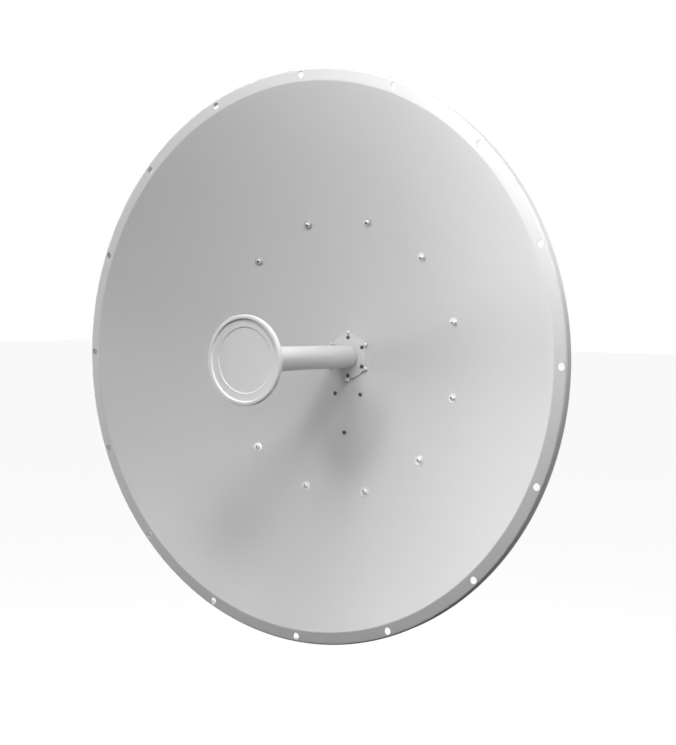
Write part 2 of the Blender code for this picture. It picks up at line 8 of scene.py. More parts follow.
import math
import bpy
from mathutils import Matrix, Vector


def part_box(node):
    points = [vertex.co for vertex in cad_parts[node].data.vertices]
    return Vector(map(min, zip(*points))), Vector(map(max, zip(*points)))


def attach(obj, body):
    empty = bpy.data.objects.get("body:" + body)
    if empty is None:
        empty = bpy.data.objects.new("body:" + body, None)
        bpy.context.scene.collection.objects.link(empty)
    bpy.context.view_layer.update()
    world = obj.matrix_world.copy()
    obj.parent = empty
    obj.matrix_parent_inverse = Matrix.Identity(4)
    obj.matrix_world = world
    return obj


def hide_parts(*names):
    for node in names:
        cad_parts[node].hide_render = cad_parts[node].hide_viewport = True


bl_info = {
    "name": "Microwave Dish Antenna",
    "version": (1, 0, 0),
    "blender": (4, 5, 0),
    "location": "View3D > Sidebar > Dish",
    "description": "Builds the surfaces, finishes and studio of a microwave dish antenna",
    "category": "Add Mesh",
}

import bmesh
import bpy
import numpy as np
from mathutils import Matrix, Vector

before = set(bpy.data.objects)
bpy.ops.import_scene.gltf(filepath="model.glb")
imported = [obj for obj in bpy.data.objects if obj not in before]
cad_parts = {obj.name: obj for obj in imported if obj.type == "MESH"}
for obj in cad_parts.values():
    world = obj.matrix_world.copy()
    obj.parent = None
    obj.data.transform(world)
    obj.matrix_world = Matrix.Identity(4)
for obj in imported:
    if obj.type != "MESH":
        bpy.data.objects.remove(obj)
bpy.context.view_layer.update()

MM = 0.001
TURN = 2 * math.pi
QUARTER = math.pi / 2
SIDES = (("left", -1), ("right", 1))
LEVELS = (("upper", 1), ("lower", -1))
CORNERS = ((1, 1), (-1, 1), (-1, -1), (1, -1))
UPSIDE_DOWN = Matrix.Rotation(math.pi, 4, "X")
WHITE = (1, 1, 1, 1)


# Settings that a user would change


def length(name, description, millimetres):
    return bpy.props.FloatProperty(
        name=name, description=description, default=millimetres * MM, subtype="DISTANCE", unit="LENGTH"
    )


def colour(name, description, default):
    return bpy.props.FloatVectorProperty(
        name=name, description=description, default=default, size=3, min=0, max=1, subtype="COLOR"
    )


def strength(name, description, default):
    return bpy.props.FloatProperty(name=name, description=description, default=default, min=0)


class DishReflectorSizes(bpy.types.PropertyGroup):
    """Sizes of the reflecting sheet and of what is screwed to it."""

    four_f: length("Four focal lengths", "Square of a radius over its depth", 1466.6)
    vertex_y: length("Vertex", "Place of the vertex along the boresight", -190)
    sheet: length("Sheet", "Thickness of the reflector", 2)
    centre_hole: length("Centre hole", "Radius of the hole at the vertex", 26)
    bowl_edge: length("Bowl edge", "Radius where the bowl turns into the flange", 500.8)
    inner_bend: length("Inner bend", "Bend radius between bowl and flange", 5)
    fold: length("Fold", "Radius where the flange turns into the lip", 521.6)
    outer_bend: length("Outer bend", "Bend radius between flange and lip", 3.5)
    lip: length("Lip", "Depth of the lip behind the flange", 16.5)
    rim_hole_circle: length("Rim hole circle", "Radius of the circle of rim holes", 514.6)
    rim_hole: length("Rim hole", "Radius of a rim hole", 6.25)
    rim_holes: bpy.props.IntProperty(name="Rim holes", description="Holes in the flange", default=16)
    ring_screw_circle: length("Ring screw circle", "Radius of the circle of ring screws", 263.2)
    ring_screws: bpy.props.IntProperty(name="Ring screws", description="Screws round", default=12)


class DishFeedSizes(bpy.types.PropertyGroup):
    """Sizes of the feed on the boresight."""

    tube: length("Tube", "Outer radius of the feed tube", 22)
    cap: length("Cap", "Radius of the feed cap", 78.5)
    cap_face: length("Cap face", "Height of the cap's rim over the vertex", 336)
    cap_thick: length("Cap thickness", "Thickness of the cap at its rim", 10)
    cap_rim: length("Cap rim", "Width of the raised rim", 6.5)
    cap_step: length("Cap step", "Radius of the inner step of the cap", 57.5)
    cone_depth: length("Cone depth", "Depth of the cone behind the cap", 36)
    plate: length("Base plate", "Radius of the base plate", 43.5)
    plate_flat: length("Base plate flat", "Distance from the axis to each flat", 40.5)
    plate_thick: length("Base plate thickness", "Thickness of the base plate", 3)
    hub_screw_circle: length("Hub screw circle", "Radius of the six light screws", 46.2)
    plate_screw_circle: length("Plate screw circle", "Radius of the six dark screws", 37)


class DishFinishes(bpy.types.PropertyGroup):
    """Base colours of the finishes."""

    paint: colour("Powder coat", "Satin powder coat of reflector, tube and ring", (0.76, 0.76, 0.76))
    plastic: colour("Cap plastic", "Moulded cover of the feed", (0.93, 0.93, 0.93))
    stainless: colour("Stainless steel", "Screws on the front", (0.8, 0.795, 0.79))
    black: colour("Black oxide", "Small dark screws", (0.1, 0.1, 0.104))
    galvanised: colour("Galvanised steel", "Sheet steel of the brackets", (0.50, 0.52, 0.53))
    zinc: colour("Zinc plate", "Bolts, nuts and rods", (0.62, 0.63, 0.62))
    casting: colour("Cast aluminium", "Hub and housing behind the dish", (0.55, 0.56, 0.57))


class DishStudio(bpy.types.PropertyGroup):
    """Light and floor."""

    backdrop: strength("Backdrop", "Brightness seen behind the dish", 1.0)
    ambient: strength("Ambient", "Even light from all round", 0.015)
    reflected: strength("Reflected", "Brightness of the studio in shiny surfaces", 0.55)
    floor_glow: strength("Floor glow", "Light that the floor adds to what it reflects", 0.93)


def settings(name):
    return getattr(bpy.context.scene, name)


# Surfaces worked out as arrays, each as (points, cells)


def mm(*lengths):
    """Lengths in millimetres, or rows of them, turned to metres."""
    return [mm(*value) if isinstance(value, tuple) else value * MM for value in lengths]


def grid(rows, columns, closed_rows=False):
    """Four corner numbers of each cell of a grid of points that closes sideways."""
    i = np.arange(rows if closed_rows else rows - 1)[:, None]
    j = np.arange(columns)[None, :]
    below, beside = (i + 1) % rows, (j + 1) % columns
    cells = [i * columns + j, i * columns + beside, below * columns + beside, below * columns + j]
    return np.stack(np.broadcast_arrays(*cells), -1).reshape(-1, 4)


def moved(points, place):
    """Points turned and shifted by a 4 by 4 matrix."""
    matrix = np.array(place)
    return points @ matrix[:3, :3].T + matrix[:3, 3]


def placed(surface, place):
    return moved(surface[0], place), surface[1]


def lifted(surface, z):
    return placed(surface, Matrix.Translation((0, 0, z)))


def together(*surfaces):
    """One surface of several."""
    counts = np.cumsum([0] + [len(points) for points, _ in surfaces])
    cells = [c + n for (_, c), n in zip(surfaces, counts)]
    return np.concatenate([points for points, _ in surfaces]), np.concatenate(cells)


def turns(count):
    """Angles of a number of equal steps round the z axis."""
    return np.arange(count) * TURN / count


def between_turns(count):
    """Angles halfway between those steps."""
    return [TURN * (i + 0.5) / count for i in range(count)]


def around(radii, heights, angles, closed=False):
    """Surface round the z axis: at each angle a ring's point is (r cos a, r sin a, z).

    radii and heights hold a row for each ring, with one number for each angle
    or one for the whole ring. A closed profile joins its last ring to its first.
    """
    rings = []
    for rows in (radii, heights):
        rows = np.asarray(rows, float)
        rings.append(np.repeat(rows[:, None], len(angles), 1) if rows.ndim == 1 else rows)
    points = np.stack([rings[0] * np.cos(angles), rings[0] * np.sin(angles), rings[1]], -1)
    return points.reshape(-1, 3), grid(len(rings[0]), len(angles), closed)


def arc(centre, radius, start, end, steps):
    """Points on a circle's arc: centre + radius (cos a, sin a) for a from start to end."""
    a = np.linspace(start, end, steps + 1)
    return np.stack([centre[0] + radius * np.cos(a), centre[1] + radius * np.sin(a)], -1)


def rounded(corners, closed=True, steps=5):
    """Outline with round corners, from (x, y) or (x, y, radius) for each.

    An arc of radius r touches both sides at r tan(turn / 2) from the corner,
    and its centre is on the line that halves the corner.
    """
    corners = [(*c, 0)[:3] for c in corners]
    made = []
    for i, (x, y, radius) in enumerate(corners):
        here = np.array((x, y))
        at_end = not closed and i in (0, len(corners) - 1)
        if radius <= 0 or at_end:
            made.append(here[None])
            continue
        before = np.array(corners[i - 1][:2]) - here
        after = np.array(corners[(i + 1) % len(corners)][:2]) - here
        before, after = before / np.linalg.norm(before), after / np.linalg.norm(after)
        half = math.acos(np.clip(before @ after, -1, 1)) / 2
        middle = here + (before + after) / np.linalg.norm(before + after) * radius / math.sin(half)
        first = here + before * radius / math.tan(half) - middle
        last = here + after * radius / math.tan(half) - middle
        start = math.atan2(first[1], first[0])
        sweep = (math.atan2(last[1], last[0]) - start + math.pi) % TURN - math.pi
        made.append(arc(middle, radius, start, start + sweep, steps))
    return np.concatenate(made)


def turned(corners, sides=96, closed=False, steps=5):
    """Surface round the z axis from a profile of (radius, height) or (radius, height, rounding)."""
    profile = rounded(corners, closed=closed, steps=steps)
    return around(*profile.T, turns(sides), closed)


def rod(radius, low, high, sides, edge=0.0):
    """Round bar along z."""
    return turned([(0, low), (radius, low, edge), (radius, high, edge), (0, high)], sides)


def washer(outer, inner, thick):
    """Flat ring on z 0, its outer edges rounded by a quarter of its thickness."""
    edge = thick / 4
    corners = [(inner, 0), (outer, 0, edge), (outer, thick, edge), (inner, thick, edge)]
    return turned(corners, 64, closed=True, steps=3)


def polar(radius, angle, z):
    return radius * math.cos(angle), radius * math.sin(angle), z


def along(start, direction):
    """Places a surface so that its z runs along the direction, from the start."""
    turn = Vector(direction).to_track_quat("Z", "Y").to_matrix().to_4x4()
    return Matrix.Translation(Vector(start)) @ turn


# Screws, bolts and nuts


def hexagon(across_flats, angles):
    """Radius of a hexagon at each angle: half its width over the cosine from the nearest flat."""
    return across_flats / 2 / np.cos(angles % (TURN / 6) - TURN / 12)


def hex_block(across_flats, height, bore=0.0, both_ends=True):
    """Hexagonal head or nut from z 0 to height, its corners cut by a cone of 30 degrees.

    The radius at each height is the smaller of the hexagon's and the cone's.
    """
    angles = turns(72)
    flats = hexagon(across_flats, angles)
    reach = across_flats / 2 / math.cos(TURN / 12)
    face = across_flats * 0.47
    rise = (reach - face) * math.tan(math.radians(30))
    low = np.linspace(0, 1, 4)
    high = low[::-1] if both_ends else np.ones(1)
    cut = [np.minimum(flats, face + (reach - face) * share) for share in (*low, *high)]
    top = height - rise * high if both_ends else [height]
    end = np.full_like(flats, bore)
    return around([end, *cut, end], [0, *(rise * low), *top, height], angles, closed=bore > 0)


def thread(radius, start, end, pitch, depth, sides=32):
    """Rod with a screw thread, whose phase p is the height in pitches less the angle in turns.

    The groove's share of the depth is 1.15 - 2.6 |p - 1/2|, held between 0 and
    1, which leaves a flat crest and root. The rod is tapered at its end.
    """
    angles = turns(sides)
    rise, a = np.meshgrid(np.arange(start, end, pitch / 4), angles, indexing="ij")
    phase = (rise / pitch - a / TURN) % 1
    groove = np.clip(1.15 - 2.6 * np.abs(phase - 0.5), 0, 1)
    taper = 1 - np.clip((end - rise) / (depth * 1.5), 0, 1)
    radii = radius - depth * np.maximum(groove, taper)
    radii = np.vstack([np.zeros(sides), radii, np.full(sides, radius - depth), np.zeros(sides)])
    rise = np.vstack([np.full(sides, start), rise, np.full((2, sides), end)])
    return around(radii, rise, angles)


# Millimetres across flats, of head, nut, pitch and washer
BOLTS = {"M8": (13, 5.3, 6.5, 1.25, 1.6), "M10": (17, 6.4, 8, 1.5, 2)}


def hex_bolt(size, grip, past):
    """Head, washers, nut and thread end of a bolt along z, gripping from z 0 to grip."""
    flats, head, nut, pitch, wash = mm(*BOLTS[size])
    radius = int(size[1:]) * MM / 2
    nut_z = grip + wash
    disc = washer(radius * 2 + 0.5 * MM, radius * 0.98, wash)
    return together(
        lifted(hex_block(flats, head, both_ends=False), -wash - head),
        lifted(hex_block(flats, nut, radius * 0.9), nut_z),
        thread(radius, nut_z + nut / 2, nut_z + nut + past, pitch, 0.6 * pitch),
        rod(radius, -wash, nut_z + MM, 32),
        lifted(disc, -wash),
        lifted(disc, grip),
    )


def rod_nut():
    """M10 nut on its washer."""
    return together(washer(*mm(10.5, 4.8, 2)), lifted(hex_block(*mm(17, 8, 4.4)), 2 * MM))


def small_nut(reach, gap=0.0):
    """M4 nut on the end of its screw."""
    nut = hex_block(*mm(7, 3.2, 1.8))
    return together(lifted(nut, gap), thread(2 * MM, 0, reach, 0.7 * MM, 0.4 * MM, 24))


def button_screw(radius, height, socket, base, sides=60):
    """Domed head with a hexagonal socket, from z base up.

    The dome is a quarter ellipse from the edge to the socket's mouth. The
    socket's rings have the hexagon's radius at each angle.
    """
    angles = turns(sides)
    flats = hexagon(socket, angles)
    share = np.linspace(0, 1, 8)[:, None]
    mouth = socket / 2 * 1.3
    dome = mouth + (radius - mouth) * np.cos(share * QUARTER)
    rise = base + height * (0.16 + 0.84 * np.sin(share * QUARTER))
    edge = np.full((1, sides), radius)
    radii = np.vstack([0 * edge, edge * 0.97, edge, np.repeat(dome, sides, 1), flats, flats, 0 * edge])
    floor = base + height * 0.35
    heights = [base, base, base + height * 0.05, *rise[:, 0], base + height - 0.15 * MM, floor, floor]
    return around(radii, heights, angles)


def socket_shade_cup(socket, height, base):
    """Thin dark cup inside a button screw's socket, from its floor to just under its mouth: painted shade in
    the recess.
    """
    angles = turns(60)
    gap, wall = mm(0.03, 0.12)
    outer = hexagon(socket, angles) - gap
    inner = outer - wall
    low, high = base + height * 0.35 + gap, base + height - 0.3 * MM
    radii = [0 * outer, outer, outer, inner, inner, 0 * outer]
    return around(radii, [low, low, high, high, low + wall, low + wall], angles)


def pan_screw(radius, height):
    """Small head with a plain round recess: a quarter ellipse from the edge to the recess."""
    share = np.linspace(0, 1, 9)
    mouth = radius * 0.3
    dome = mouth + (radius - mouth) * np.cos(share * QUARTER)
    rise = height * (0.2 + 0.8 * np.sin(share * QUARTER))
    radii = np.concatenate([[0, radius], dome, [radius * 0.26, 0]])
    heights = np.concatenate([[0, 0], rise, [height * 0.45, height * 0.4]])
    return around(radii, heights, turns(36))


# Folded sheet


class Section:
    """Line that a sheet is folded to: straight legs between corners, with an arc at each.

    A place on it is s, the length along the line, and t, the height to its
    left. On a leg the point is start + s direction + t normal. On an arc it is
    centre + (radius - t) turned by s over the radius.
    """

    def __init__(self, corners, radii):
        corners = np.array(corners, float)
        legs = np.diff(corners, axis=0)
        self.lengths = np.linalg.norm(legs, axis=1)
        self.headings = np.arctan2(legs[:, 1], legs[:, 0])
        turn = (np.diff(self.headings) + math.pi) % TURN - math.pi
        radii = np.broadcast_to(np.asarray(radii, float), turn.shape)
        cuts = radii * np.tan(np.abs(turn) / 2)
        self.before = np.concatenate([[0], cuts])
        spans = np.zeros(len(legs) + len(turn))
        spans[::2] = self.lengths - self.before - np.concatenate([cuts, [0]])
        spans[1::2] = radii * np.abs(turn)
        self.marks = np.concatenate([[0], np.cumsum(spans)])
        self.corners, self.turn, self.radii = corners, turn, radii
        self.end = self.marks[-1]

    def s(self, leg, distance):
        """Length along the line of a point on a leg, from that leg's first corner."""
        return self.marks[2 * leg] + distance - self.before[leg]

    def bend_marks(self, steps=6):
        """Lengths at which the arcs are divided."""
        pairs = zip(self.marks[1:-1:2], self.marks[2::2])
        return [x for a, b in pairs for x in np.linspace(a, b, steps + 1)]

    def place(self, s, t):
        s, t = np.broadcast_arrays(np.asarray(s, float), np.asarray(t, float))
        out = np.zeros((*s.shape, 2))
        for leg, heading in enumerate(self.headings):
            last = leg == len(self.headings) - 1
            low = self.marks[2 * leg] - 1e-12 if leg else -np.inf
            high = np.inf if last else self.marks[2 * leg + 1]
            here = (s >= low) & (s <= high)
            forward = np.array((math.cos(heading), math.sin(heading)))
            left = np.array((-forward[1], forward[0]))
            gone = s - self.marks[2 * leg] + self.before[leg]
            flat = self.corners[leg] + gone[..., None] * forward + t[..., None] * left
            out[here] = flat[here]
            if last:
                continue
            bend = (s > high) & (s < self.marks[2 * leg + 2])
            way = math.copysign(1, self.turn[leg])
            radius = self.radii[leg]
            start = self.corners[leg] + (self.lengths[leg] - self.before[leg + 1]) * forward
            centre = start + way * radius * left
            angle = heading + way * (s - high) / max(radius, 1e-9)
            side = np.stack([np.sin(angle), -np.cos(angle)], -1)
            curved = centre + way * (radius - way * t)[..., None] * side
            out[bend] = curved[bend]
        return out


def strip(section, low, high, radius):
    """Outline in (s, h) of a sheet as long as its section, with four round corners."""
    ends = (0, low), (section.end, low), (section.end, high), (0, high)
    return rounded([(*corner, radius) for corner in ends])


def sheet_metal(section, outline, low, high, place, holes=()):
    """Flat sheet cut to an outline in (s, h), with holes, then folded to the section.

    The sheet is filled flat, given its thickness from t low to high, divided
    along its fold lines, and each point (s, h, t) goes to the section's place
    of (s, t) at height h.
    """
    flat = bmesh.new()
    for loop in (outline, *holes):
        corners = [flat.verts.new((s, h, low)) for s, h in loop]
        for a, b in zip(corners, corners[1:] + corners[:1]):
            flat.edges.new((a, b))
    bmesh.ops.triangle_fill(flat, edges=flat.edges, use_beauty=True)
    grown = bmesh.ops.extrude_face_region(flat, geom=list(flat.faces), use_keep_orig=True)
    raised = [v for v in grown["geom"] if isinstance(v, bmesh.types.BMVert)]
    bmesh.ops.translate(flat, vec=(0, 0, high - low), verts=raised)
    for mark in section.bend_marks():
        everything = list(flat.verts) + list(flat.edges) + list(flat.faces)
        bmesh.ops.bisect_plane(flat, geom=everything, dist=1e-7, plane_co=(mark, 0, 0), plane_no=(1, 0, 0))
    bmesh.ops.recalc_face_normals(flat, faces=flat.faces)
    mesh = bpy.data.meshes.new("sheet")
    flat.to_mesh(mesh)
    flat.free()
    points = np.zeros(len(mesh.vertices) * 3)
    mesh.vertices.foreach_get("co", points)
    points = points.reshape(-1, 3)
    xy = section.place(points[:, 0], points[:, 2])
    points = moved(np.column_stack([xy, points[:, 1]]), place)
    mesh.vertices.foreach_set("co", points.astype(np.float32).ravel())
    close(mesh)
    return mesh


# Pieces in the scene


def close(mesh):
    """Merges doubled points, which closes seams and poles, and turns the faces outward."""
    body = bmesh.new()
    body.from_mesh(mesh)
    bmesh.ops.remove_doubles(body, verts=body.verts, dist=2e-6)
    bmesh.ops.dissolve_degenerate(body, dist=1e-7, edges=body.edges)
    bmesh.ops.recalc_face_normals(body, faces=body.faces)
    body.to_mesh(mesh)
    body.free()


def show(name, shape, finish, bevel=0.0, sharp=30):
    """Puts a surface or a mesh in the scene, in its finish. It replaces the node of its name."""
    slot, material = material_of(finish)
    title = f"dish_{name}"
    mesh = shape
    if not isinstance(shape, bpy.types.Mesh):
        mesh = bpy.data.meshes.new(title)
        mesh.from_pydata(shape[0], [], shape[1].tolist())
        close(mesh)
    mesh.name = title
    mesh.materials.append(material)
    mesh.shade_smooth()
    mesh.set_sharp_from_angle(angle=math.radians(sharp))
    piece = bpy.data.objects.new(title, mesh)
    bpy.context.scene.collection.objects.link(piece)
    if bevel:
        edge = piece.modifiers.new("edge", "BEVEL")
        edge.width, edge.segments, edge.limit_method = bevel, 2, "ANGLE"
        edge.angle_limit = math.radians(40)
        edge.harden_normals = False
        flat = piece.modifiers.new("flat", "WEIGHTED_NORMAL")
        flat.keep_sharp = True
    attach(piece, "root")
    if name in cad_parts:
        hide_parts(name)


def dish_frame():
    """Matrix from the dish's own frame to the part's."""
    return Matrix.Translation((0, settings("dish_reflector").vertex_y, 0)) @ Matrix.Rotation(QUARTER, 4, "X")


def in_dish(*surfaces):
    return placed(together(*surfaces), dish_frame())


def bowl_z(radius):
    """Height of the reflecting surface over its vertex, z = r^2 / 4f."""
    return radius**2 / settings("dish_reflector").four_f


def on_bowl(angle, radius):
    """Point and forward normal on the reflecting surface, in the dish's frame."""
    slope = math.atan(2 * radius / settings("dish_reflector").four_f)
    return polar(radius, angle, bowl_z(radius)), polar(-math.sin(slope), angle, math.cos(slope))


# Finishes


class Signal:
    """Output of a node. Signs between signals and numbers add Math nodes."""

    def __init__(self, nodes, socket):
        self.nodes, self.socket = nodes, socket

    def math(self, operation, *values):
        return self.nodes.node("ShaderNodeMath", {"operation": operation}, dict(enumerate(values)))

    def __add__(self, other):
        return self.math("ADD", self, other)

    def __radd__(self, other):
        return self.math("ADD", other, self)

    def __mul__(self, other):
        return self.math("MULTIPLY", self, other)

    def __rmul__(self, other):
        return self.math("MULTIPLY", other, self)


class Nodes:
    """Node tree that is being put together."""

    def __init__(self, tree):
        self.tree = tree

    def feed(self, socket, value):
        if isinstance(value, Signal):
            self.tree.links.new(value.socket, socket)
        else:
            socket.default_value = value

    def node(self, kind, options=None, inputs=None, output=0):
        """Adds a node: its options first, then the values or signals of its sockets."""
        made = self.tree.nodes.new(kind)
        for key, value in (options or {}).items():
            if key == "stops":
                for stop, (position, tone) in zip(made.color_ramp.elements, value):
                    stop.position, stop.color = position, (tone, tone, tone, 1)
            else:
                setattr(made, key, value)
        for key, value in (inputs or {}).items():
            self.feed(made.inputs[key], value)
        return Signal(self, made.outputs[output])


class Finish(Nodes):
    """Material that is being put together round its Principled shader."""

    def __init__(self, name, roughness, metallic=0.0):
        self.material = bpy.data.materials.new(name)
        self.material.use_nodes = True
        super().__init__(self.material.node_tree)
        self.shader = self.tree.nodes["Principled BSDF"]
        self.set(Roughness=roughness, Metallic=metallic)

    def set(self, **values):
        for key, value in values.items():
            self.feed(self.shader.inputs[key.replace("_", " ")], value)

    def place(self):
        return self.node("ShaderNodeTexCoord", output="Object")

    def noise(self, scale, detail=2.0, roughness=0.5):
        inputs = {"Vector": self.place(), "Scale": scale, "Detail": detail, "Roughness": roughness}
        return self.node("ShaderNodeTexNoise", inputs=inputs)

    def cells(self, scale):
        inputs = {"Vector": self.place(), "Scale": scale, "Randomness": 1.0}
        return self.node("ShaderNodeTexVoronoi", {"feature": "F1"}, inputs, "Color")

    def tint(self, mask, base, low, high):
        """Base colour that goes from low to high times the base with a mask."""
        first, second = ((*(min(1.0, channel * part) for channel in base), 1) for part in (low, high))
        blend = self.node("ShaderNodeMix", {"data_type": "RGBA"}, {0: mask, 6: first, 7: second}, 2)
        self.set(Base_Color=blend)

    def grain(self, height, strength, distance):
        bump = {"Height": height, "Strength": strength, "Distance": distance}
        self.set(Normal=self.node("ShaderNodeBump", inputs=bump))


def powder_coat(base):
    """Satin powder coat: a faint cloudiness in tone, and fine orange peel."""
    made = Finish("white_powder_coat", 0.42)
    clouds = made.noise(7.0, 3.0)
    made.tint(clouds, base, 0.985, 1.015)
    made.set(Roughness=0.38 + clouds * 0.08)
    made.grain(made.noise(620.0, 2.0, 0.45), 0.06, 0.0004)
    return made.material


def moulded_plastic(base):
    """Plastic with a fine matt grain."""
    made = Finish("cap_plastic", 0.4)
    flow = made.noise(14.0)
    made.tint(flow, base, 0.99, 1.01)
    made.set(Roughness=0.36 + flow * 0.08)
    made.grain(made.noise(1500.0, 1.0), 0.05, 0.0002)
    return made.material


def metal(name, low, high, vary, scale, strength):
    """Bare or plated metal whose tone and roughness vary a little over its grain."""

    def make(base):
        made = Finish(name, low, 1.0)
        pattern = made.noise(scale, 4.0, 0.6)
        made.tint(pattern, base, 1 - vary, 1 + vary)
        made.set(Roughness=low + pattern * (high - low))
        made.grain(made.noise(scale * 6), strength, 0.0002)
        return made.material

    return make


def black_oxide(base):
    """Dark oxide, worn here and there to a lighter tone."""
    made = Finish("black_oxide", 0.25, 1.0)
    wear = made.noise(500.0, 3.0)
    made.tint(wear, base, 0.8, 1.6)
    made.set(Roughness=0.34 + wear * 0.12)
    return made.material


def galvanised_steel(base):
    """Hot dip galvanised sheet: spangles of a few millimetres, each with its own tone and gloss."""
    made = Finish("galvanised_steel", 0.56, 0.9)
    spangle = made.cells(95.0)
    broad = made.noise(22.0, 3.0)
    tone = made.node("ShaderNodeSeparateColor", inputs={"Color": spangle})
    mask = tone * 0.7 + broad * 0.3
    made.tint(mask, base, 0.86, 1.14)
    made.set(Roughness=0.5 + mask * 0.14)
    made.grain(tone * 0.5 + made.noise(900.0) * 0.5, 0.06, 0.0003)
    return made.material


# Slot and maker of each finish. Its colour has the same name in DishFinishes.
FINISHES = {
    "paint": ("white_paint", powder_coat),
    "plastic": ("cap_plastic", moulded_plastic),
    "stainless": ("stainless", metal("stainless_steel", 0.4, 0.52, 0.06, 240.0, 0.08)),
    "black": ("black_steel", black_oxide),
    "galvanised": ("galvanised", galvanised_steel),
    "zinc": ("zinc", metal("zinc_plate", 0.34, 0.5, 0.1, 160.0, 0.1)),
    "casting": ("casting", metal("cast_aluminium", 0.45, 0.6, 0.06, 420.0, 0.35)),
}
MADE = {}


def material_of(finish):
    """Slot and material of a finish. The material is made the first time that it is asked for."""
    slot, make = FINISHES[finish]
    if finish not in MADE:
        MADE[finish] = make(getattr(settings("dish_finishes"), finish))
    return slot, MADE[finish]


# The reflector

BOWL_STEPS = 44
BEND_STEPS = 6
FLANGE_STEPS = 6
FOLD_STEPS = 8
LIP_STEPS = 3
HOLE_STEPS = 10
REST_STEPS = 14
HOLE_WINDOW = math.radians(1.25)


def reflector_lines(size):
    """Front and back lines of the sheet from the centre out, as (radius, height).

    The bowl is z = r^2 / 4f. Its slope turns to nothing on the inner bend, and
    on to straight back at the fold, each on an arc. The back line is moved by
    the sheet's thickness against the forward normal.
    """
    radius = np.linspace(size.centre_hole, size.bowl_edge, BOWL_STEPS + 1)
    slope = np.arctan(2 * radius / size.four_f)
    flange_z = bowl_z(radius[-1]) + size.inner_bend * (1 - math.cos(slope[-1]))
    start = radius[-1] + size.inner_bend * math.sin(slope[-1])
    reach = size.fold + size.outer_bend

    def line(radius, height, slope):
        return np.stack(np.broadcast_arrays(radius, height, slope), -1)

    def bend(end, bend_radius, first, last, steps):
        turn = np.linspace(first, last, steps + 1)[1:]
        return line(end - bend_radius * np.sin(turn), flange_z - bend_radius * (1 - np.cos(turn)), turn)

    lines = np.concatenate([
        line(radius, bowl_z(radius), slope),
        bend(start, size.inner_bend, slope[-1], 0, BEND_STEPS),
        line(np.linspace(start, size.fold, FLANGE_STEPS + 1)[1:], flange_z, 0),
        bend(size.fold, size.outer_bend, 0, -QUARTER, FOLD_STEPS),
        line(reach, flange_z - np.linspace(size.outer_bend, size.lip, LIP_STEPS + 1)[1:], -QUARTER),
    ])
    front = lines[:, :2]
    back = front - size.sheet * np.stack([-np.sin(lines[:, 2]), np.cos(lines[:, 2])], -1)
    return front, back, flange_z


def rim_hole_patch(size, middle, inner, flange_z):
    """Flange round one hole: lines run from the patch's edge straight to the hole's edge.

    The patch's edge is a piece of the flange between two radii and two angles.
    Each of its points is joined to the point of the hole's circle in the same
    direction from the hole's centre, on both faces, and the wall joins the two.
    """
    sweep = np.linspace(-HOLE_WINDOW, HOLE_WINDOW, HOLE_STEPS + 1)
    steps = np.linspace(inner, size.fold, FLANGE_STEPS + 1)
    ends = [np.full(FLANGE_STEPS, way * HOLE_WINDOW) for way in (1, -1)]
    angle = middle + np.concatenate([sweep[:-1], ends[0], sweep[:0:-1], ends[1]])
    near, far = np.full(HOLE_STEPS, inner), np.full(HOLE_STEPS, size.fold)
    radius = np.concatenate([near, steps[:-1], far, steps[:0:-1]])
    edge = np.stack([radius * np.cos(angle), radius * np.sin(angle)], -1)
    centre = np.array(polar(size.rim_hole_circle, middle, 0)[:2])
    way = (edge - centre) / np.linalg.norm(edge - centre, axis=1)[:, None]
    burr = 0.3 * MM
    rim = centre + way * (size.rim_hole + burr)
    rows = []
    back_z = flange_z - size.sheet
    for face_z, wall_z, order in ((flange_z, flange_z - burr, 1), (back_z, back_z + burr, -1)):
        rings = []
        for share in (1, 0.55, 0.25, 0):
            rings.append(np.column_stack([rim + (edge - rim) * share, np.full(len(edge), face_z)]))
        rings.append(np.column_stack([centre + way * size.rim_hole, np.full(len(edge), wall_z)]))
        rows += rings[::order]
    return np.concatenate(rows), grid(len(rows), len(edge))


class DISH_OT_reflector(bpy.types.Operator):
    """Reflecting sheet: paraboloid, drilled flange and lip."""

    bl_idname = "dish.reflector"
    bl_label = "Reflector"

    def execute(self, context):
        """The sheet is turned round the axis, and a patch takes up the flange's cells round each hole."""
        size = context.scene.dish_reflector
        front, back, flange_z = reflector_lines(size)
        tip = arc((front[-1] + back[-1]) / 2, size.sheet / 2, 0, -math.pi, 4)[1:-1]
        profile = np.concatenate([front, tip, back[::-1]])
        sector = TURN / size.rim_holes
        window = np.linspace(-HOLE_WINDOW, HOLE_WINDOW, HOLE_STEPS + 1)[:-1]
        rest = np.linspace(HOLE_WINDOW, sector - HOLE_WINDOW, REST_STEPS + 1)[:-1]
        starts = QUARTER + sector * np.arange(size.rim_holes)
        angles = (starts[:, None] + np.concatenate([window, rest])).ravel()
        points, cells = around(*profile.T, angles, closed=True)
        row, column = cells[:, 0] // len(angles), cells[:, 0] % len(angles)
        first = BOWL_STEPS + BEND_STEPS
        last = first + FLANGE_STEPS
        from_back = len(profile) - 1 - row
        on_flange = (row >= first) & (row < last) | (from_back > first) & (from_back <= last)
        in_window = column % (HOLE_STEPS + REST_STEPS) < HOLE_STEPS
        cells = cells[~(on_flange & in_window)]
        patches = [rim_hole_patch(size, start, front[first, 0], flange_z) for start in starts]
        show("reflector", in_dish((points, cells), *patches), "paint", sharp=40)
        return {"FINISHED"}


